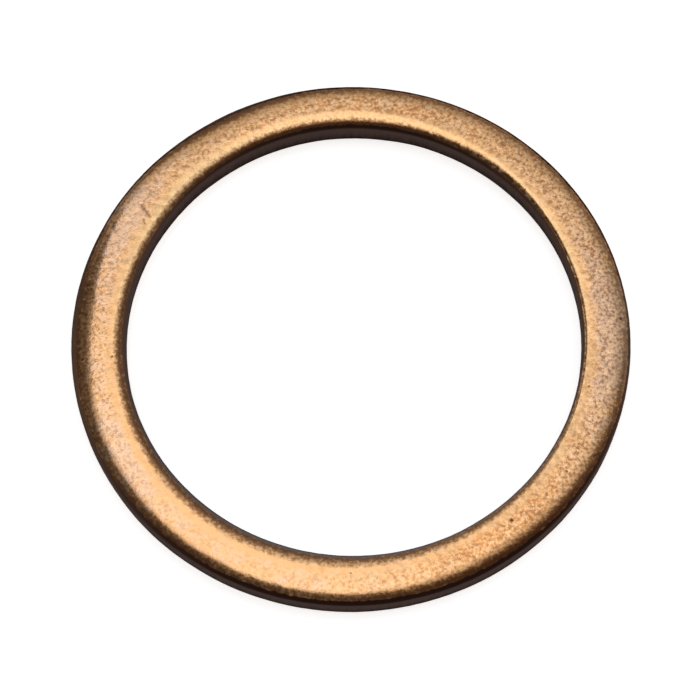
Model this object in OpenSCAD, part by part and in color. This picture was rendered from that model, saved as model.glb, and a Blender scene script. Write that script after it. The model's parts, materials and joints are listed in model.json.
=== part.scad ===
// Copper crush washer: a flat sealing ring stamped from soft annealed copper sheet.
// The press pierces the bore and then blanks out the rim. The upper edges roll over
// into the cut as it does so, and tumbling afterwards rounds the lower edges.
// Lengths are in millimetres. The ring lies on its lower sealing face at Z = 0,
// with the rim's axis on Z.

/* [Ring] */
// Bore diameter, across the straight part of the bore's wall
bore_d = 22; // [6:0.5:60]
// Radial width of the ring, from the bore's wall to the rim's wall
ring_w = 2.5; // [1.8:0.1:8]
// Thickness between the two sealing faces
thickness = 1.5; // [1:0.1:3]
// How far the pierced bore sits off the rim's axis, towards +X
bore_offset = 0.15; // [0:0.05:0.4]

/* [Rim edges] */
// Width of the roll-over on the upper face, in from the rim's wall
rim_roll_w = 0.85; // [0.3:0.05:1.2]
// Drop of the roll-over, from the upper face to the straight part of the rim's wall
rim_roll_drop = 0.5; // [0.2:0.05:1]
// Radius of the tumbled lower edge of the rim
rim_lower_r = 0.3; // [0.1:0.05:0.8]

/* [Bore edges] */
// Width of the roll-over on the upper face, out from the bore's wall
bore_roll_w = 0.6; // [0.3:0.05:1]
// Drop of the roll-over, from the upper face to the straight part of the bore's wall
bore_roll_drop = 0.45; // [0.2:0.05:1]
// Radius of the tumbled lower edge of the bore
bore_lower_r = 0.3; // [0.1:0.05:0.8]

/* [Hidden] */
$fn = 180;
// Burnished copper, as red, green and blue
copper = [0.80, 0.52, 0.33];
// Diameter across the straight part of the rim's wall
outer_d = bore_d + 2 * ring_w;
// How far the pierced sheet runs out from the bore, well past the rim
sheet_reach = outer_d;
// How far the material cut off a corner runs past the sheet
overcut = thickness;

// What a rounded corner lacks of a sharp one. The sharp corner is at the origin, with the
// sheet to its left and below. The rounding is a quarter ellipse, tangent to face and wall.
module corner_waste(w, drop) {
    translate([-w, -drop])
        difference() {
            square([w + overcut, drop + overcut]);
            scale([1, drop / w]) circle(r = w);
        }
}

// Half section of the sheet, cut off at x = 0 and running to x = -reach:
// rolled over at the upper corner and plainly rounded at the lower one
module cut_sheet(reach, roll_w, roll_drop, lower_r) {
    difference() {
        translate([-reach, 0]) square([reach, thickness]);
        translate([0, thickness]) corner_waste(roll_w, roll_drop);
        mirror([0, 1]) corner_waste(lower_r, lower_r);
    }
}

// Round blank: everything inside the rim
module rim_blank() {
    rotate_extrude()
        translate([outer_d / 2, 0])
            cut_sheet(outer_d / 2, rim_roll_w, rim_roll_drop, rim_lower_r);
}

// Pierced sheet: everything outside the bore
module pierced_sheet() {
    translate([bore_offset, 0, 0])
        rotate_extrude()
            translate([bore_d / 2, 0])
                mirror([1, 0])
                    cut_sheet(sheet_reach, bore_roll_w, bore_roll_drop, bore_lower_r);
}

// The washer is the one piece of sheet that lies outside the bore and inside the rim
module washer() {
    color(copper)
        intersection() {
            rim_blank();
            pierced_sheet();
        }
}

washer();
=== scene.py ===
"""Copper crush washer: the tumbled copper ring, its soft light and its camera.

The ring's section follows the CAD solid: flat sealing faces, wide roll-overs on the upper edges and small
radii on the lower ones. The roll-overs vary in width round the ring and the upper face is slightly crowned.
The skin is pressed inwards by a faint waviness, dents, pits, scratches and a nick, and all of it stays
inside the solid's box. Lengths are in millimetres and angles in degrees unless a name says otherwise, and
both are converted where Blender takes them.
"""
import json
import math

import bpy
import numpy as np
from mathutils import Matrix, Vector


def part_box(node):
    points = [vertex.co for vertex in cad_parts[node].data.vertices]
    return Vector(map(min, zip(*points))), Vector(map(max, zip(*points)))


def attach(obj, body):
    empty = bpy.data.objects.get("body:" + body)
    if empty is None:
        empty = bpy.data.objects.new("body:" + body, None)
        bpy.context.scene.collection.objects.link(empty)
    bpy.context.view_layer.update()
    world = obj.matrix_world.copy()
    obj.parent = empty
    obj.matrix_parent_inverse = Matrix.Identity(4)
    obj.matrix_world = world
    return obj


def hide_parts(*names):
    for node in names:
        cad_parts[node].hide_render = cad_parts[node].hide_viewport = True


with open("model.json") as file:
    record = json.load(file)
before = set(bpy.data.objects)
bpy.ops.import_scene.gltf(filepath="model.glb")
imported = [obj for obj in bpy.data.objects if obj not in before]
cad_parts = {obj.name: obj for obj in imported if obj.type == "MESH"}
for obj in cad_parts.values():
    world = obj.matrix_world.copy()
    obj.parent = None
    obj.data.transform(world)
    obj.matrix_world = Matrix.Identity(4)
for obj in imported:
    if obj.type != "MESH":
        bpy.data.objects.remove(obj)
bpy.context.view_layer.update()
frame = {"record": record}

MM = 0.001
FULL_TURN = 360
RIGHT_ANGLE = 90
SEED = 22

# Ring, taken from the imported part
WASHER_LOW, WASHER_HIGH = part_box("washer")
BORE = next(mount for mount in frame["record"]["mounts"] if mount["name"] == "bore")
RIM_R = (WASHER_HIGH[0] - WASHER_LOW[0]) / 2 / MM
THICKNESS = (WASHER_HIGH[2] - WASHER_LOW[2]) / MM
BORE_R = BORE["dims"]["r_mm"]
BORE_X = BORE["pos_m"][0] / MM
# What lies above mid height belongs to the upper face and its edges. What lies less than half the way from
# the bore to the rim belongs to the bore.
MID_HEIGHT = THICKNESS / 2
MID_SHARE = 0.5

# Edges, as in the part's source
RIM_ROLL_W = 0.85
RIM_ROLL_DROP = 0.5
BORE_ROLL_W = 0.6
BORE_ROLL_DROP = 0.45
LOWER_R = 0.3
# The bore's roll-over is narrow on the +X side and wide on the -X side, and wider twice a turn
BORE_ROLL_LEAN = 0.155
BORE_ROLL_SWELL = 0.16
BORE_ROLL_SWELL_AT = -101
# It is wider or narrower at some more places: bearing, spread and change of width
BORE_ROLL_CHANGES = (
    (5, 30, -0.09),
    (30, 18, -0.13),
    (62, 22, -0.12),
    (95, 20, 0.06),
    (152, 15, -0.13),
)
# The rim's roll-over is wider or narrower here and there: bearing, spread and change of width
RIM_ROLL_CHANGES = (
    (-60, 22, 0.10),
    (178, 16, 0.36),
    (148, 14, -0.25),
    (118, 14, 0.26),
    (45, 25, -0.08),
    (-95, 22, -0.12),
)
# The upper face is crowned. Towards the bore it is so at three bearings: bearing, spread, tilt at the
# face's end and power of the tilt's rise. Towards the rim it is so all round, but less on the -X side.
BORE_CROWNS = (
    (68, 42, 9, 3),
    (10, 32, 6.5, 0.5),
    (125, 25, 5, 1),
)
RIM_CROWN_TILT = 3
RIM_CROWN_POWER = 3
RIM_CROWN_CHANGES = (
    (180, 25, -1.8),
)
# How far into the roll-over the crown's tilt fades out
CROWN_FADE = 0.3

# Mesh steps round the ring and along each stretch of the section
TURN_STEPS = 1320
UPPER_FACE_STEPS = 20
RIM_ROLL_STEPS = 15
BORE_ROLL_STEPS = 12
WALL_STEPS = 6
LOWER_EDGE_STEPS = 5
LOWER_FACE_STEPS = 5
# Samples along a roll-over, from which its evenly spaced stations are worked out
ROLL_SAMPLES = 400

# Skin: wavelength and height of each layer of unevenness
WAVE_LENGTH, WAVE_HEIGHT = 3.0, 0.004
DENT_LENGTH, DENT_HEIGHT = 0.55, 0.0015
# Waves in a layer, the range of their pitch and the height at which their sum is cut off
LAYER_WAVES = 60
LAYER_PITCH = (0.7, 1.4)
LAYER_LIMIT = 2.5

# Photographed frame and the camera that the ring's two outlines fix in it
FRAME_PX = 700
SENSOR_MM = 36
FOCAL_PX = 2383.9
FACE_CENTRE_PX = (350.46, 332.74)
CAMERA_DEPTH = 114.56
CAMERA_TILT = 21.395
CAMERA_ROLL = 1.679


def camera_pose():
    """The camera's rotation and its place in millimetres, from where the upper face's centre shows."""
    tilt = math.radians(CAMERA_TILT)
    lean = math.radians(CAMERA_ROLL)
    up = Vector((-math.sin(tilt) * math.sin(lean), math.sin(tilt) * math.cos(lean), math.cos(tilt)))
    across = (Vector((1, 0, 0)) - up * up.x).normalized()
    turn = Matrix((across, up.cross(across), up))
    right_px = FACE_CENTRE_PX[0] - FRAME_PX / 2
    up_px = FRAME_PX / 2 - FACE_CENTRE_PX[1]
    seen = Vector((right_px, up_px, -FOCAL_PX)) * (CAMERA_DEPTH / FOCAL_PX)
    return turn, Vector((0, 0, THICKNESS)) - turn @ seen


CAMERA_TURN, CAMERA_PLACE = camera_pose()


def from_view(right_px, down_px):
    """The point of the upper face that the photograph shows at a pixel, in millimetres."""
    ray = CAMERA_TURN @ Vector((right_px - FRAME_PX / 2, FRAME_PX / 2 - down_px, -FOCAL_PX))
    reach = (THICKNESS - CAMERA_PLACE.z) / ray.z
    hit = CAMERA_PLACE + ray * reach
    return np.array((hit.x, hit.y))


def add_camera():
    """The camera at the photograph's viewing angle."""
    data = bpy.data.cameras.new("camera")
    data.sensor_width = SENSOR_MM
    data.lens = FOCAL_PX / FRAME_PX * SENSOR_MM
    data.clip_start = MM
    camera = bpy.data.objects.new("camera", data)
    camera.matrix_world = Matrix.Translation(CAMERA_PLACE * MM) @ CAMERA_TURN.to_4x4()
    bpy.context.collection.objects.link(camera)
    bpy.context.scene.camera = camera


def roll(width, drop, steps):
    """Insets from the wall, drops from the face and tilts along a quarter ellipse, evenly spaced."""
    fine = np.linspace(0, math.pi / 2, ROLL_SAMPLES)
    speed = np.hypot(width * np.cos(fine), drop * np.sin(fine))
    run = np.concatenate(([0], np.cumsum((speed[1:] + speed[:-1]) / 2)))
    turn = np.interp(np.linspace(0, run[-1], steps + 1), run, fine)
    tilt = np.arctan2(drop * np.sin(turn), width * np.cos(turn))
    return width * (1 - np.sin(turn)), drop * (1 - np.cos(turn)), tilt


def stretch(share, bore_inset, rim_inset, height, outward, upward):
    """Rows of stations along one stretch of the section, without its last one."""
    columns = np.broadcast_arrays(share, bore_inset, rim_inset, height, outward, upward)
    return np.stack(columns, axis=1)[:-1]


def section():
    """Stations round the section, from the bore's end of the upper face and over the rim.

    Each has its share of the way from the bore to the rim, its insets from both walls, its height and its
    normal's outward and upward parts.
    """
    rim_inset, rim_fall, rim_tilt = roll(RIM_ROLL_W, RIM_ROLL_DROP, RIM_ROLL_STEPS)
    bore_roll = roll(BORE_ROLL_W, BORE_ROLL_DROP, BORE_ROLL_STEPS)
    bore_inset, bore_fall, bore_tilt = (row[::-1] for row in bore_roll)
    low_inset, low_rise, low_tilt = roll(LOWER_R, LOWER_R, LOWER_EDGE_STEPS)
    rim_wall = np.linspace(THICKNESS - RIM_ROLL_DROP, LOWER_R, WALL_STEPS + 1)
    bore_wall = np.linspace(LOWER_R, THICKNESS - BORE_ROLL_DROP, WALL_STEPS + 1)
    return np.concatenate((
        stretch(np.linspace(0, 1, UPPER_FACE_STEPS + 1), BORE_ROLL_W, RIM_ROLL_W, THICKNESS, 0, 1),
        stretch(1, 0, rim_inset, THICKNESS - rim_fall, np.sin(rim_tilt), np.cos(rim_tilt)),
        stretch(1, 0, 0, rim_wall, 1, 0),
        stretch(1, 0, low_inset[::-1], low_rise[::-1], np.sin(low_tilt[::-1]), -np.cos(low_tilt[::-1])),
        stretch(np.linspace(1, 0, LOWER_FACE_STEPS + 1), LOWER_R, LOWER_R, 0, 0, -1),
        stretch(0, low_inset, 0, low_rise, -np.sin(low_tilt), -np.cos(low_tilt)),
        stretch(0, 0, 0, bore_wall, -1, 0),
        stretch(0, bore_inset, 0, THICKNESS - bore_fall, -np.sin(bore_tilt), np.cos(bore_tilt)),
    ))


def near_bearing(turn, bearing, spread):
    """How near each angle round the ring, in radians, lies to a bearing, from 0 to 1."""
    half_turn = FULL_TURN / 2
    gap = np.abs((np.degrees(turn) - bearing + half_turn) % FULL_TURN - half_turn)
    return np.exp(-(gap / spread) ** 2)


def around(turn, changes):
    """The sum of some changes round the ring, each with its bearing, spread and strength."""
    return sum(strength * near_bearing(turn, bearing, spread) for bearing, spread, strength in changes)


def bore_roll_change(turn):
    """How much wider the bore's roll-over is round the ring."""
    twice = BORE_ROLL_SWELL * np.cos(2 * (turn - math.radians(BORE_ROLL_SWELL_AT)))
    return twice - BORE_ROLL_LEAN * np.cos(turn) + around(turn, BORE_ROLL_CHANGES)


def sink(tilt, power, from_crown, past_face):
    """How far a crowned face has sunk.

    It follows from the share of the way from the crown to the face's end, and the distance past that end.
    """
    half_face = (RIM_R - RIM_ROLL_W - BORE_R - BORE_ROLL_W) / 2
    past = np.clip(past_face, 0, CROWN_FADE)
    on_face = half_face * from_crown ** (power + 1) / (power + 1)
    return np.tan(np.radians(tilt)) * (on_face + past - past ** 2 / CROWN_FADE / 2)


def swept(rows):
    """Points and normals of the section swept round the ring, as arrays of stations by turns."""
    share, bore_inset, rim_inset, height, outward, upward = (column[:, None] for column in rows.T)
    turn = np.linspace(0, 2 * math.pi, TURN_STEPS, endpoint=False)[None, :]
    on_top = height > MID_HEIGHT
    bore_side = BORE_R + bore_inset * (1 + on_top * bore_roll_change(turn) / BORE_ROLL_W)
    rim_side = RIM_R - rim_inset * (1 + on_top * around(turn, RIM_ROLL_CHANGES) / RIM_ROLL_W)
    radius = (1 - share) * bore_side + share * rim_side
    shift = (1 - share) * BORE_X
    from_crown = np.abs(2 * share - 1)
    past_bore_end = BORE_ROLL_W - bore_inset
    bore_sunk = sum(
        sink(tilt, power, from_crown, past_bore_end) * near_bearing(turn, bearing, spread)
        for bearing, spread, tilt, power in BORE_CROWNS
    )
    rim_tilt = RIM_CROWN_TILT + around(turn, RIM_CROWN_CHANGES)
    rim_sunk = sink(rim_tilt, RIM_CROWN_POWER, from_crown, RIM_ROLL_W - rim_inset)
    sunk = np.where(share < MID_SHARE, bore_sunk, rim_sunk) * on_top
    level = np.ones_like(turn)
    points = np.stack((shift + radius * np.cos(turn), radius * np.sin(turn), height - sunk), axis=-1)
    normals = np.stack((outward * np.cos(turn), outward * np.sin(turn), upward * level), axis=-1)
    return points, normals


def layer(points, wavelength, height, draw):
    """Random smooth unevenness, as depths from 0 inwards."""
    aims = draw.normal(size=(LAYER_WAVES, 3))
    aims /= np.linalg.norm(aims, axis=1, keepdims=True)
    pitch = 2 * math.pi / wavelength * draw.uniform(*LAYER_PITCH, size=(LAYER_WAVES, 1))
    phase = draw.uniform(0, 2 * math.pi, size=LAYER_WAVES)
    total = np.zeros(points.shape[:-1])
    for wave, start in zip(aims * pitch, phase):
        total += np.cos(points @ wave + start)
    level = total / math.sqrt(LAYER_WAVES / 2)
    return height * (LAYER_LIMIT + np.clip(level, -LAYER_LIMIT, LAYER_LIMIT))


# Pits seen in the photograph, by their place: pixel, radius and depth
PITS = {
    "right_rim": ((621, 318), 0.08, 0.03),
    "left_rim": ((82, 359), 0.08, 0.03),
    "left_face": ((112, 356), 0.06, 0.02),
    "lower_right": ((512, 520), 0.09, 0.03),
    "right_below": ((567, 471), 0.06, 0.015),
    "lower_right_rim": ((494, 558), 0.06, 0.02),
    "right_bore": ((589, 386), 0.06, 0.02),
    "near_face": ((351, 573), 0.05, 0.015),
}
# Scratches and the nick seen in the photograph: both ends' pixels, half width and depth
SCRATCHES = {
    "upper_left": ((141, 204), (149.5, 216), 0.05, 0.02),
    "upper_left_short": ((143, 218), (144.7, 223.5), 0.05, 0.012),
    "right_nick": ((594, 456), (603, 450), 0.04, 0.03),
}
# A scratch darkens the copper less than a pit does
SCRATCH_DARKNESS = 0.78
# Light flecks seen in the photograph, by their place: pixel and radius
FLECKS = {
    "near_rim": ((446, 585), 0.07),
    "right_bore": ((587, 332), 0.08),
    "far_right_bore": ((500, 170), 0.07),
    "upper_right_bore": ((527, 194), 0.07),
    "left_rim_first": ((88, 300), 0.06),
    "left_rim_second": ((88, 305), 0.05),
    "left_rim_third": ((90, 311), 0.06),
}


def gap_to_line(places, start, end):
    """How far each place lies from a line between two points of the upper face."""
    along = end - start
    share = np.clip((places - start) @ along / (along @ along), 0, 1)
    return np.linalg.norm(places - start - share[..., None] * along, axis=-1)


def marks(points):
    """Depth of the pits, scratches and nick, and how much of each point they darken."""
    places = points[..., :2]
    depth = np.zeros(places.shape[:-1])
    dark = np.zeros_like(depth)
    for pixel, radius, deep in PITS.values():
        spot = np.exp(-(np.linalg.norm(places - from_view(*pixel), axis=-1) / radius) ** 2)
        depth += deep * spot
        dark = np.maximum(dark, spot)
    for start, end, half_width, deep in SCRATCHES.values():
        groove = np.exp(-(gap_to_line(places, from_view(*start), from_view(*end)) / half_width) ** 2)
        depth += deep * groove
        dark = np.maximum(dark, SCRATCH_DARKNESS * groove)
    on_top = points[..., 2] > MID_HEIGHT
    return depth * on_top, dark * on_top


def flecks(points):
    """How much of each point a light fleck covers."""
    cover = np.zeros(points.shape[:-1])
    for pixel, radius in FLECKS.values():
        gap = np.linalg.norm(points[..., :2] - from_view(*pixel), axis=-1)
        cover = np.maximum(cover, np.exp(-(gap / radius) ** 2))
    return cover * (points[..., 2] > MID_HEIGHT)


def ring_faces(stations):
    """Corner indices of the ring's quads, with the section's and the turn's last steps closed."""
    row = np.arange(stations)[:, None]
    turn = np.arange(TURN_STEPS)[None, :]
    next_row = (row + 1) % stations
    next_turn = (turn + 1) % TURN_STEPS
    corners = (row * TURN_STEPS + turn, next_row * TURN_STEPS + turn,
               next_row * TURN_STEPS + next_turn, row * TURN_STEPS + next_turn)
    return np.stack(corners, axis=-1).reshape(-1, len(corners))


# The skin is unrolled in strips, stacked to fill a square map
STRIPS = 3
STRIP_MARGIN = 0.01


def unrolled(points):
    """Map corners of every quad, with the ring cut into strips.

    Each strip is as long as its turns and as tall as the section is round.
    """
    stations = points.shape[0]
    steps = np.linalg.norm(np.diff(points[:, 0], axis=0, append=points[:1, 0]), axis=-1)
    run = np.concatenate(([0], np.cumsum(steps))) / steps.sum()
    strip_turns = TURN_STEPS // STRIPS
    turn = np.arange(TURN_STEPS)[None, :]
    left = (turn % strip_turns) / strip_turns + np.zeros((stations, 1))
    right = left + 1 / strip_turns
    strip = turn // strip_turns
    low = run[:-1, None] + 0 * turn
    high = run[1:, None] + 0 * turn

    def corner(across, up):
        """One corner of every quad, inside its strip's margins."""
        kept = 1 - 2 * STRIP_MARGIN
        map_across = STRIP_MARGIN + across * kept
        map_up = (strip + STRIP_MARGIN + up * kept) / STRIPS
        return np.stack((map_across, map_up), axis=-1)

    corners = (corner(left, low), corner(left, high), corner(right, high), corner(right, low))
    return np.stack(corners, axis=2)


# Hue of the face round the ring: bearing, spread and strength. It is above 0 where the face is dull and
# below 0 where it is warm.
HUES = (
    (0, 22, 1.0),
    (-55, 20, -1.5),
    (-150, 14, 0.5),
    (150, 16, 0.7),
    (85, 50, -0.85),
)
# Beside the bore the face is golden and smooth, and towards the rim it is duller and grainy
BAND_FROM, BAND_TO = 0.1, 0.5
BAND_HUE = (-0.1, 0.3)
BAND_GRAIN = (0.35, 1.0)
# The golden band is wider on the right: bearing, spread and share of the face
BAND_WIDER_AT = 5
BAND_WIDER_SPREAD = 40
BAND_WIDER = 0.12
# The face is smoother or rougher here and there: bearing, spread and share of grain lost or gained
FACE_GRAIN_CHANGES = (
    (-118, 45, -0.6),
    (0, 35, 0.15),
    (150, 22, -0.35),
)
# The roll-overs have their own amount of grain, fully so from one tilt on: bearing, spread and change of it
ROLL_TILT = 0.1
RIM_ROLL_GRAIN = 0.3
RIM_GRAIN_CHANGES = (
    (0, 70, 0.7),
)
BORE_ROLL_GRAIN = 0.9
BORE_GRAIN_CHANGES = (
    (60, 60, -0.6),
)
# The edges are browned unevenly, partly tarnish and partly painted shade: bearing, spread and change, at
# the rim and at the bore
RIM_BROWNING_AND_SHADE = (
    (110, 42, 0.15),
    (120, 16, 0.12),
    (150, 16, 0.22),
    (182, 20, -0.20),
    (205, 22, -0.18),
    (40, 28, 0.10),
    (-2, 24, -0.26),
    (-45, 22, 0.10),
    (-100, 28, -0.08),
)
BORE_BROWNING_AND_SHADE = (
    (10, 40, 0.55),
    (92, 22, 0.15),
    (148, 30, -0.30),
    (190, 28, 0.22),
    (-85, 35, -0.22),
)
# Their painted shade darkens to a near-black crease line sooner or later too: bearing, spread and change,
# at the rim and at the bore
RIM_CREASING = (
    (-95, 50, 0.26),
    (110, 42, 0.13),
    (120, 16, 0.06),
    (150, 16, 0.15),
    (182, 20, -0.05),
    (5, 35, -0.12),
    (42, 22, 0.12),
)
BORE_CREASING = (
    (80, 55, 0.06),
    (-90, 60, -0.12),
    (12, 32, 0.60),
    (170, 40, -0.10),
)
# The painted shade of the creases is paler at some bearings: bearing, spread and share, at the rim and at
# the bore
RIM_CREASE_PALENESS = (
    (188, 32, 1.0),
    (120, 20, 0.6),
    (0, 26, 0.9),
)
BORE_CREASE_PALENESS = (
    (172, 38, 1.0),
    (12, 35, 0.9),
)
# A highlight is painted into the copper beside the bore at some bearings: bearing, spread and share, and
# its reach over the face
BORE_HIGHLIGHTS = (
    (-28, 20, 0.5),
    (25, 30, 1.0),
    (85, 35, 0.4),
    (140, 35, 1.0),
)
HIGHLIGHT_REACH = 0.33
# The border of the browned tone and painted shade beside the bore is more ragged at one bearing: bearing,
# spread and gain, and its reach over the face
BORE_FRAYING = (
    (30, 35, 5.5),
)
FRAY_REACH = 0.2


def face_looks(points, share, tilt):
    """Numbers for the material of every point, by name."""
    turn = np.arctan2(points[..., 1], points[..., 0])
    by_bore = share[:, None] < MID_SHARE

    def by_side(bore_changes, rim_changes):
        """Changes round the ring, the bore's on its half of the section and the rim's on the other."""
        return np.where(by_bore, around(turn, bore_changes), around(turn, rim_changes))

    def beside_bore(reach):
        """A share that is whole at the bore and fades out over the face."""
        return np.clip(1 - share / reach, 0, 1)[:, None]

    wider = BAND_WIDER * near_bearing(turn, BAND_WIDER_AT, BAND_WIDER_SPREAD)
    band = np.clip((share[:, None] - wider - BAND_FROM) / (BAND_TO - BAND_FROM), 0, 1)
    face_grain = np.interp(band, (0, 1), BAND_GRAIN) * (1 + around(turn, FACE_GRAIN_CHANGES))
    roll_grain = np.where(by_bore, BORE_ROLL_GRAIN, RIM_ROLL_GRAIN)
    roll_grain = roll_grain + by_side(BORE_GRAIN_CHANGES, RIM_GRAIN_CHANGES)
    on_roll = np.clip(tilt / ROLL_TILT, 0, 1)[:, None]
    crease_pale = by_side(BORE_CREASE_PALENESS, RIM_CREASE_PALENESS)
    return {
        "hue": np.interp(band, (0, 1), BAND_HUE) + band * around(turn, HUES),
        "grain": face_grain + on_roll * (roll_grain - face_grain),
        # Browned tone and painted shade on the edges, growing with tilt
        "browning_and_shade": tilt[:, None] * (1 + by_side(BORE_BROWNING_AND_SHADE, RIM_BROWNING_AND_SHADE)),
        # Where the painted shade of the crease line sets in, and how pale it is
        "creasing": tilt[:, None] * (1 + by_side(BORE_CREASING, RIM_CREASING)),
        "crease_pale": np.clip(crease_pale, 0, 1),
        # Share of the painted highlight beside the bore
        "pale": np.clip(around(turn, BORE_HIGHLIGHTS), 0, 1) * beside_bore(HIGHLIGHT_REACH),
        # Where the painted grey reflection lies on the bore's -Y edge
        "grey_reflection_side": np.where(by_bore, np.clip(-np.sin(turn), 0, 1), 0),
        "fraying": 1 + around(turn, BORE_FRAYING) * beside_bore(FRAY_REACH),
    }


def add_attribute(mesh, name, values):
    """A number on every point of the mesh, for its material."""
    attribute = mesh.attributes.new(name, "FLOAT", "POINT")
    attribute.data.foreach_set("value", values.astype(np.float32).ravel())


def build_washer():
    """The ring as one closed mesh, in place of the CAD solid."""
    draw = np.random.default_rng(SEED)
    rows = section()
    points, normals = swept(rows)
    depth = layer(points, WAVE_LENGTH, WAVE_HEIGHT, draw) + layer(points, DENT_LENGTH, DENT_HEIGHT, draw)
    mark_depth, mark_dark = marks(points)
    skin = points - normals * (depth + mark_depth)[..., None]
    faces = ring_faces(len(rows))
    corners = faces.shape[1]
    mesh = bpy.data.meshes.new("washer_skin")
    mesh.vertices.add(depth.size)
    mesh.vertices.foreach_set("co", (skin * MM).astype(np.float32).ravel())
    mesh.loops.add(faces.size)
    mesh.loops.foreach_set("vertex_index", faces.astype(np.int32).ravel())
    mesh.polygons.add(len(faces))
    mesh.polygons.foreach_set("loop_start", np.arange(0, faces.size, corners, dtype=np.int32))
    mesh.update(calc_edges=True)
    mesh.shade_smooth()
    layer_uv = mesh.uv_layers.new(name="OFBake")
    layer_uv.data.foreach_set("uv", unrolled(points).astype(np.float32).ravel())
    share, *_, upward = rows.T
    tilt = np.degrees(np.arccos(np.clip(np.abs(upward), 0, 1))) / RIGHT_ANGLE
    add_attribute(mesh, "edge_tilt", tilt[:, None] * np.ones(TURN_STEPS))
    add_attribute(mesh, "mark", mark_dark)
    for name, values in face_looks(points, share, tilt).items():
        add_attribute(mesh, name, values)
    add_attribute(mesh, "fleck", flecks(points))
    mesh.validate()
    washer = bpy.data.objects.new("washer_skin", mesh)
    bpy.context.collection.objects.link(washer)
    washer.data.materials.append(copper())
    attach(washer, "root")
    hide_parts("washer")


# Copper tones, as linear red, green and blue
GOLDEN = (0.77, 0.438, 0.205, 1)
WARM = (0.75, 0.37, 0.14, 1)
DULL = (0.735, 0.475, 0.315, 1)
SPECK_DARK = (0.42, 0.207, 0.102, 1)
SPECK_DULL = (0.43, 0.245, 0.14, 1)
SPECK_LIGHT = (0.93, 0.595, 0.347, 1)
MARK = (0.12, 0.055, 0.026, 1)
# Tan tones of the edges, partly tarnish and partly painted shade
TANNED = (0.755, 0.42, 0.185, 1)
DULL_TAN = (0.68, 0.435, 0.262, 1)
# Painted highlight: a paler gold beside the bore
PAINTED_HIGHLIGHT = (0.80, 0.53, 0.268, 1)
# Brown tones of the edges, partly tarnish and partly painted shade
BROWN = (0.30, 0.145, 0.066, 1)
DULL_BROWN = (0.29, 0.175, 0.108, 1)
DEEP_BROWN = (0.20, 0.093, 0.042, 1)
DULL_DEEP_BROWN = (0.21, 0.132, 0.085, 1)
# Painted shade: a near-black line where the edges turn steep, and a paler copy of it
CREASE_SHADE = (0.026, 0.011, 0.008, 1)
PALE_CREASE_SHADE = (0.125, 0.07, 0.045, 1)
# The walls are painted dark, partly oxide and partly painted shade
WALL_LIGHT = (0.09, 0.06, 0.053, 1)
WALL_DARK = (0.03, 0.019, 0.017, 1)
# A painted reflection: the bore's edge on the -Y side turns away from the camera and shows as a thin grey
# line
GREY_EDGE_REFLECTION = (0.19, 0.172, 0.175, 1)
# Tint of the metal's reflection at grazing angles
EDGE_TINT = (0.75, 0.68, 0.62, 1)
# Noises: features to a millimetre, detail and roughness
SPECKLE_NOISE = (6.3, 2, 0.55)
FINE_NOISE = (14, 2, 0.5)
PATCH_NOISE = (1.4, 3, 0.5)
RAGGED_NOISE = (3.5, 4, 0.65)
STREAK_NOISE = (5.0, 3, 0.5)
# Streaks down the walls are longer than wide
STREAKED = (1, 1, 0.15)
# Noise lies round its mean, and mostly between a low and a high end
NOISE_MEAN = 0.5
NOISE_LOW, NOISE_HIGH = 0.3, 0.7
# How far noise shifts the hue, the edges' borders and the level of the walls' tones
PATCH_HUE = 0.4
FRAY = 0.04
SPECKLE_FRAY = 0.045
STREAK_REACH = 0.1
# Hues over which the face turns dull or warm, and its specks and edges turn dull
DULL_HUES = (0.0, 1.0)
WARM_HUES = (0.0, -1.0)
DULL_EDGE_HUES = (0.5, 1.2)
# Values of the speckle noise over which light and dark specks set in
LIGHT_SPECKS = (0.49, 0.66)
DARK_SPECKS = (0.52, 0.33)
# Strengths of a mark over which its tone sets in
MARK_STRENGTHS = (0.2, 0.8)
# Tilts over which each tone of the edges sets in, as shares of a right angle; the tones are browned copper
# and painted shade
TAN_TILTS = (0.05, 0.13)
BROWN_TILTS = (0.10, 0.27)
DEEP_BROWN_TILTS = (0.22, 0.34)
CREASE_TILTS = (0.345, 0.45)
WALL_TILTS = (0.54, 0.72)
# Heights over which the walls grow lighter, from painted shade near the floor to a burnished upper zone
WALL_HEIGHTS = (0.15, 1.1)
# The faces are metal, and the creases and walls, browned and painted with shade, hardly so
FACE_METALLIC, CREASE_METALLIC = 1.0, 0.05
ROUGHNESS = (0.14, 0.22)
# Heights of the coarse and the fine grains
GRAIN_BUMP = 0.01
FINE_BUMP = 0.003


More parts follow.
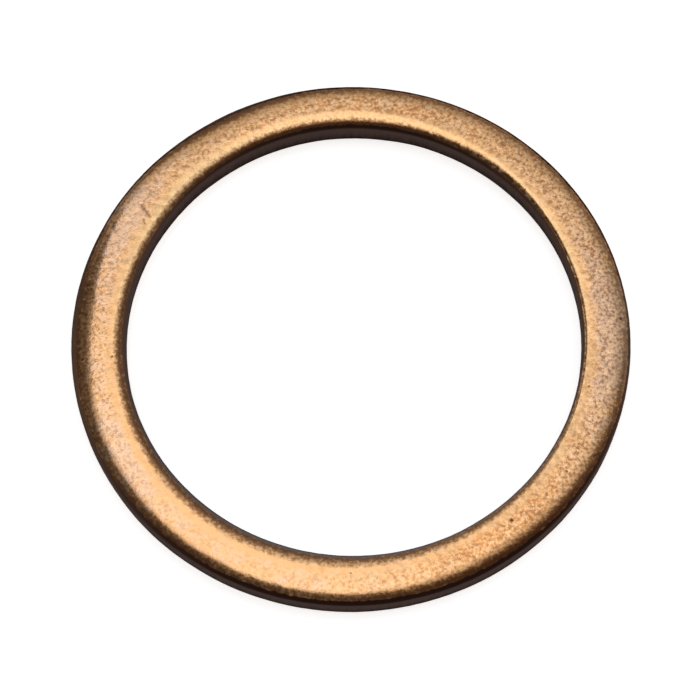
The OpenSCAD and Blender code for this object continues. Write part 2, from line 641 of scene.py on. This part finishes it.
class Graph:
    """Short calls for the nodes of one material or of the world."""

    def __init__(self, tree):
        self.tree = tree

    def node(self, kind, inputs, **settings):
        """A new node with its settings and inputs."""
        made = self.tree.nodes.new(kind)
        for name, value in settings.items():
            setattr(made, name, value)
        for name, value in inputs.items():
            self.feed(value, made.inputs[name])
        return made

    def feed(self, value, socket):
        """A number, a colour or another node's output put into a socket."""
        if isinstance(value, bpy.types.NodeSocket):
            self.tree.links.new(value, socket)
        else:
            socket.default_value = value

    def noise(self, place, scale, detail, roughness):
        """Noise with so many features to a millimetre."""
        values = {"Vector": place, "Scale": scale, "Detail": detail, "Roughness": roughness}
        return self.node("ShaderNodeTexNoise", values).outputs["Fac"]

    def math(self, operation, first, second=0.0):
        """One operation on one or two numbers."""
        return self.node("ShaderNodeMath", {0: first, 1: second}, operation=operation).outputs[0]

    def spread(self, value, from_low, from_high, to_low=0.0, to_high=1.0):
        """A value eased from one range to another."""
        limits = {"From Min": from_low, "From Max": from_high, "To Min": to_low, "To Max": to_high}
        made = self.node("ShaderNodeMapRange", {"Value": value, **limits}, interpolation_type="SMOOTHSTEP")
        return made.outputs["Result"]

    def swing(self, noise, reach):
        """Noise as a value that swings either way as far as a reach."""
        return self.spread(noise, NOISE_LOW, NOISE_HIGH, -reach, reach)

    def blend(self, share, first, second):
        """One colour fading into another."""
        made = self.node("ShaderNodeMix", {"Factor": share}, data_type="RGBA")
        for name, value in (("A", first), ("B", second)):
            socket = next(entry for entry in made.inputs if entry.name == name and entry.type == "RGBA")
            self.feed(value, socket)
        return next(entry for entry in made.outputs if entry.type == "RGBA")

    def ramp(self, value, stops):
        """A colour picked along a row of stops."""
        made = self.node("ShaderNodeValToRGB", {"Fac": value})
        elements = made.color_ramp.elements
        while len(elements) < len(stops):
            elements.new(1.0)
        for element, (position, tone) in zip(elements, stops):
            element.position = position
            element.color = tone
        return made.outputs["Color"]

    def attribute(self, name):
        """A number kept on the mesh's points."""
        return self.node("ShaderNodeAttribute", {}, attribute_name=name).outputs["Fac"]


def face_tone(graph, place, speckle, frayed):
    """Speckled golden copper with a painted highlight beside the bore, browned and painted with shade on
    the roll-overs, with its light flecks and dark marks.
    """
    patches = graph.swing(graph.noise(place, *PATCH_NOISE), PATCH_HUE)
    hue = graph.math("ADD", graph.attribute("hue"), patches)
    dullness = graph.spread(hue, *DULL_EDGE_HUES)
    pale = graph.attribute("pale")
    grain = graph.attribute("grain")
    torn = graph.math("MULTIPLY", frayed, graph.attribute("fraying"))
    browning_and_shade = graph.math("ADD", graph.attribute("browning_and_shade"), torn)
    browning_and_shade = graph.math("ADD", browning_and_shade, graph.swing(speckle, -SPECKLE_FRAY))
    light_speck = graph.math("MULTIPLY", graph.spread(speckle, *LIGHT_SPECKS), grain)
    dark_speck = graph.math("MULTIPLY", graph.spread(speckle, *DARK_SPECKS), grain)

    tone = graph.blend(graph.spread(hue, *DULL_HUES), GOLDEN, DULL)
    tone = graph.blend(graph.spread(hue, *WARM_HUES), tone, WARM)
    # The painted highlight beside the bore
    tone = graph.blend(pale, tone, PAINTED_HIGHLIGHT)
    tan = graph.blend(pale, graph.blend(dullness, TANNED, DULL_TAN), PAINTED_HIGHLIGHT)
    # The edges' tan and brown tones, partly tarnish and partly painted shade, set in as they steepen
    tone = graph.blend(graph.spread(browning_and_shade, *TAN_TILTS), tone, tan)
    tone = graph.blend(light_speck, tone, SPECK_LIGHT)
    brown = graph.blend(dullness, BROWN, DULL_BROWN)
    tone = graph.blend(graph.spread(browning_and_shade, *BROWN_TILTS), tone, brown)
    deep_brown = graph.blend(dullness, DEEP_BROWN, DULL_DEEP_BROWN)
    tone = graph.blend(graph.spread(browning_and_shade, *DEEP_BROWN_TILTS), tone, deep_brown)
    tone = graph.blend(dark_speck, tone, graph.blend(dullness, SPECK_DARK, SPECK_DULL))
    tone = graph.blend(graph.attribute("fleck"), tone, SPECK_LIGHT)
    return graph.blend(graph.spread(graph.attribute("mark"), *MARK_STRENGTHS), tone, MARK)


def edge_tone(graph, place, tone, creasing):
    """The face's tone, darkened with painted shade to a crease line on the steep edges, and to brown,
    streaked walls below them that are partly oxide and partly painted shade.
    """
    # Painted shade along the steep edges, paler at some bearings
    crease = graph.blend(graph.attribute("crease_pale"), CREASE_SHADE, PALE_CREASE_SHADE)
    # The painted grey reflection on the bore's -Y edge
    crease = graph.blend(graph.attribute("grey_reflection_side"), crease, GREY_EDGE_REFLECTION)
    tone = graph.blend(graph.spread(creasing, *CREASE_TILTS), tone, crease)
    # The walls, painted dark with oxide and painted shade, darker towards the floor
    drawn_out = graph.node("ShaderNodeVectorMath", {0: place, 1: STREAKED}, operation="MULTIPLY")
    streaks = graph.noise(drawn_out.outputs["Vector"], *STREAK_NOISE)
    height = graph.node("ShaderNodeSeparateXYZ", {"Vector": place}).outputs["Z"]
    level = graph.math("ADD", height, graph.swing(streaks, STREAK_REACH))
    wall = graph.blend(graph.spread(level, *WALL_HEIGHTS), WALL_DARK, WALL_LIGHT)
    return graph.blend(graph.spread(graph.attribute("edge_tilt"), *WALL_TILTS), tone, wall)


def skin_bump(graph, place, speckle):
    """The normal of the skin, with coarse grains where the mesh asks for them and fine ones all over."""
    grains = graph.math("MULTIPLY", graph.math("SUBTRACT", speckle, NOISE_MEAN), graph.attribute("grain"))
    coarse = graph.node("ShaderNodeBump", {"Height": grains, "Strength": 1.0, "Distance": GRAIN_BUMP * MM})
    fine_values = {
        "Height": graph.noise(place, *FINE_NOISE),
        "Strength": 1.0,
        "Distance": FINE_BUMP * MM,
        "Normal": coarse.outputs["Normal"],
    }
    return graph.node("ShaderNodeBump", fine_values).outputs["Normal"]


def copper():
    """Satin tumbled copper: golden faces with a painted highlight by the bore, roll-overs browned and
    painted with shade, with ragged borders, and walls painted dark with oxide and shade.
    """
    material = bpy.data.materials.new("copper")
    material.use_nodes = True
    sockets = material.node_tree.nodes["Principled BSDF"].inputs
    graph = Graph(material.node_tree)
    place = graph.node("ShaderNodeTexCoord", {}).outputs["Object"]
    in_mm = graph.node("ShaderNodeVectorMath", {0: place, "Scale": 1 / MM}, operation="SCALE")
    place = in_mm.outputs["Vector"]
    speckle = graph.noise(place, *SPECKLE_NOISE)
    frayed = graph.swing(graph.noise(place, *RAGGED_NOISE), FRAY)
    creasing = graph.math("ADD", graph.attribute("creasing"), frayed)
    tone = edge_tone(graph, place, face_tone(graph, place, speckle, frayed), creasing)
    graph.feed(tone, sockets["Base Color"])
    graph.feed(graph.spread(creasing, *CREASE_TILTS, FACE_METALLIC, CREASE_METALLIC), sockets["Metallic"])
    graph.feed(graph.spread(speckle, NOISE_LOW, NOISE_HIGH, *ROUGHNESS), sockets["Roughness"])
    graph.feed(skin_bump(graph, place, speckle), sockets["Normal"])
    # What isn't metal has no shine
    sockets["Specular IOR Level"].default_value = 0.0
    sockets["Specular Tint"].default_value = EDGE_TINT
    return material


# Floor and light
WHITE = (1, 1, 1, 1)
FLOOR_HALF = 5000
FLOOR_DROP = 0.02
FLOOR_WHITE = (0.9, 0.9, 0.9, 1)
FLOOR_ROUGHNESS = 0.9
FLOOR_SPECULAR = 0.1
FLOOR_GLOW = 0.72
KEY_DISTANCE = 600
KEY_ACROSS = 340
KEY_RADIANCE = 0.6
KEY_NORTH = 8
KEY_EAST = -9
# Glow of the surroundings by its angle from the key light: degrees and colour
GLOW = (
    (0, (0.92, 0.92, 0.92, 1)),
    (16, (0.92, 0.92, 0.92, 1)),
    (20, (0.88, 0.88, 0.88, 1)),
    (28, (0.68, 0.68, 0.68, 1)),
    (36, (0.54, 0.54, 0.54, 1)),
    (50, (0.45, 0.45, 0.45, 1)),
    (70, (0.55, 0.55, 0.55, 1)),
    (90, (0.70, 0.70, 0.70, 1)),
)
# The surroundings are dim at the near side and, in a greyer tone, at the left
DIM = (0.19, 0.14, 0.105, 1)
NEAR_SIDE = (0, -1, 0)
NEAR_FROM, NEAR_TO = 0.09, 0.19
DIM_LEFT = (0.175, 0.16, 0.15, 1)
LEFT_SIDE = (-0.75, -0.66, 0)
LEFT_FROM, LEFT_TO = 0.12, 0.24
# Towards the near right they are only partly dim
RIGHT_SIDE = (0.5, -0.866, 0)
RIGHT_FROM, RIGHT_TO = 0.08, 0.20
RIGHT_SHARE = 0.6
# Low down, where the pale floor ends, they are much less dim, and from higher up on the near side
DIM_LOW = (0.70, 0.67, 0.64, 1)
OVERHEAD = (0, 0, 1)
LOW_FROM, LOW_TO = 0.42, 0.25
NEAR_LOW = (0, 0.6, 1)
NEAR_LOW_FROM, NEAR_LOW_TO = 0.37, 0.15
# At the horizon they are as white as the floor
HORIZON_FROM, HORIZON_TO = 0.22, 0.07
# A dark card stands at the left
CARD_NORTH = 20
CARD_EAST = -30
CARD_INNER, CARD_OUTER = 16, 17.5
CARD_TONE = (0.13, 0.117, 0.115, 1)


def build_floor():
    """A plain white floor just under the lower sealing face."""
    reach = FLOOR_HALF * MM
    level = -FLOOR_DROP * MM
    mesh = bpy.data.meshes.new("floor")
    sides = ((-reach, -reach), (reach, -reach), (reach, reach), (-reach, reach))
    corners = [(across, along, level) for across, along in sides]
    mesh.from_pydata(corners, [], [list(range(len(corners)))])
    material = bpy.data.materials.new("floor_white")
    material.use_nodes = True
    graph = Graph(material.node_tree)
    sockets = material.node_tree.nodes["Principled BSDF"].inputs
    sockets["Base Color"].default_value = FLOOR_WHITE
    sockets["Roughness"].default_value = FLOOR_ROUGHNESS
    sockets["Specular IOR Level"].default_value = FLOOR_SPECULAR
    path = graph.node("ShaderNodeLightPath", {}).outputs
    seen = graph.math("MAXIMUM", path["Is Camera Ray"], path["Is Glossy Ray"])
    seen = graph.math("MAXIMUM", seen, path["Is Transmission Ray"])
    sockets["Emission Color"].default_value = WHITE
    graph.feed(graph.math("MULTIPLY", seen, FLOOR_GLOW), sockets["Emission Strength"])
    mesh.materials.append(material)
    floor = bpy.data.objects.new("floor", mesh)
    bpy.context.collection.objects.link(floor)


def towards(north, east):
    """Unit vector that leans so many degrees north and east of overhead."""
    return Vector((math.tan(math.radians(east)), math.tan(math.radians(north)), 1)).normalized()


def add_key_light():
    """A round soft light, almost overhead, whose power is its radiance times pi times its area."""
    data = bpy.data.lights.new("key_light", "AREA")
    data.shape = "DISK"
    data.size = KEY_ACROSS * MM
    data.energy = KEY_RADIANCE * math.pi * math.pi * (data.size / 2) ** 2
    light = bpy.data.objects.new("key_light", data)
    aim = towards(KEY_NORTH, KEY_EAST)
    light.location = aim * KEY_DISTANCE * MM
    light.rotation_euler = aim.to_track_quat("Z", "Y").to_euler()
    bpy.context.collection.objects.link(light)


def set_world():
    """Plain surroundings that glow round the key light and are dim at the near side and the left.

    They are paler low down and white at the horizon, and a dark card stands in them.
    """
    world = bpy.data.worlds.new("studio")
    world.use_nodes = True
    graph = Graph(world.node_tree)
    sockets = world.node_tree.nodes["Background"].inputs
    aim = graph.node("ShaderNodeTexCoord", {}).outputs["Generated"]

    def facing(side):
        """How much the direction faces one side."""
        made = graph.node("ShaderNodeVectorMath", {0: aim, 1: tuple(side)}, operation="DOT_PRODUCT")
        return made.outputs["Value"]

    from_key = graph.math("ARCCOSINE", facing(towards(KEY_NORTH, KEY_EAST)))
    stops = [(angle / RIGHT_ANGLE, tone) for angle, tone in GLOW]
    glow = graph.ramp(graph.math("DIVIDE", from_key, math.pi / 2), stops)
    left_dim = graph.spread(facing(LEFT_SIDE), LEFT_FROM, LEFT_TO)
    near_dim = graph.spread(facing(NEAR_SIDE), NEAR_FROM, NEAR_TO)
    right_dim = graph.spread(facing(RIGHT_SIDE), RIGHT_FROM, RIGHT_TO, 0.0, RIGHT_SHARE)
    dimness = graph.math("MAXIMUM", graph.math("MAXIMUM", left_dim, near_dim), right_dim)
    low = graph.math("MAXIMUM", graph.spread(facing(OVERHEAD), LOW_FROM, LOW_TO),
                     graph.spread(facing(NEAR_LOW), NEAR_LOW_FROM, NEAR_LOW_TO))
    dim = graph.blend(low, graph.blend(left_dim, DIM, DIM_LEFT), DIM_LOW)
    card = graph.spread(facing(towards(CARD_NORTH, CARD_EAST)), math.cos(math.radians(CARD_OUTER)),
                        math.cos(math.radians(CARD_INNER)))
    tone = graph.blend(card, graph.blend(dimness, glow, dim), CARD_TONE)
    tone = graph.blend(graph.spread(facing(OVERHEAD), HORIZON_FROM, HORIZON_TO), tone, WHITE)
    graph.feed(tone, sockets["Color"])
    sockets["Strength"].default_value = 1.0
    bpy.context.scene.world = world


add_camera()
build_washer()
build_floor()
add_key_light()
set_world()
bpy.context.scene.view_settings.view_transform = "Standard"
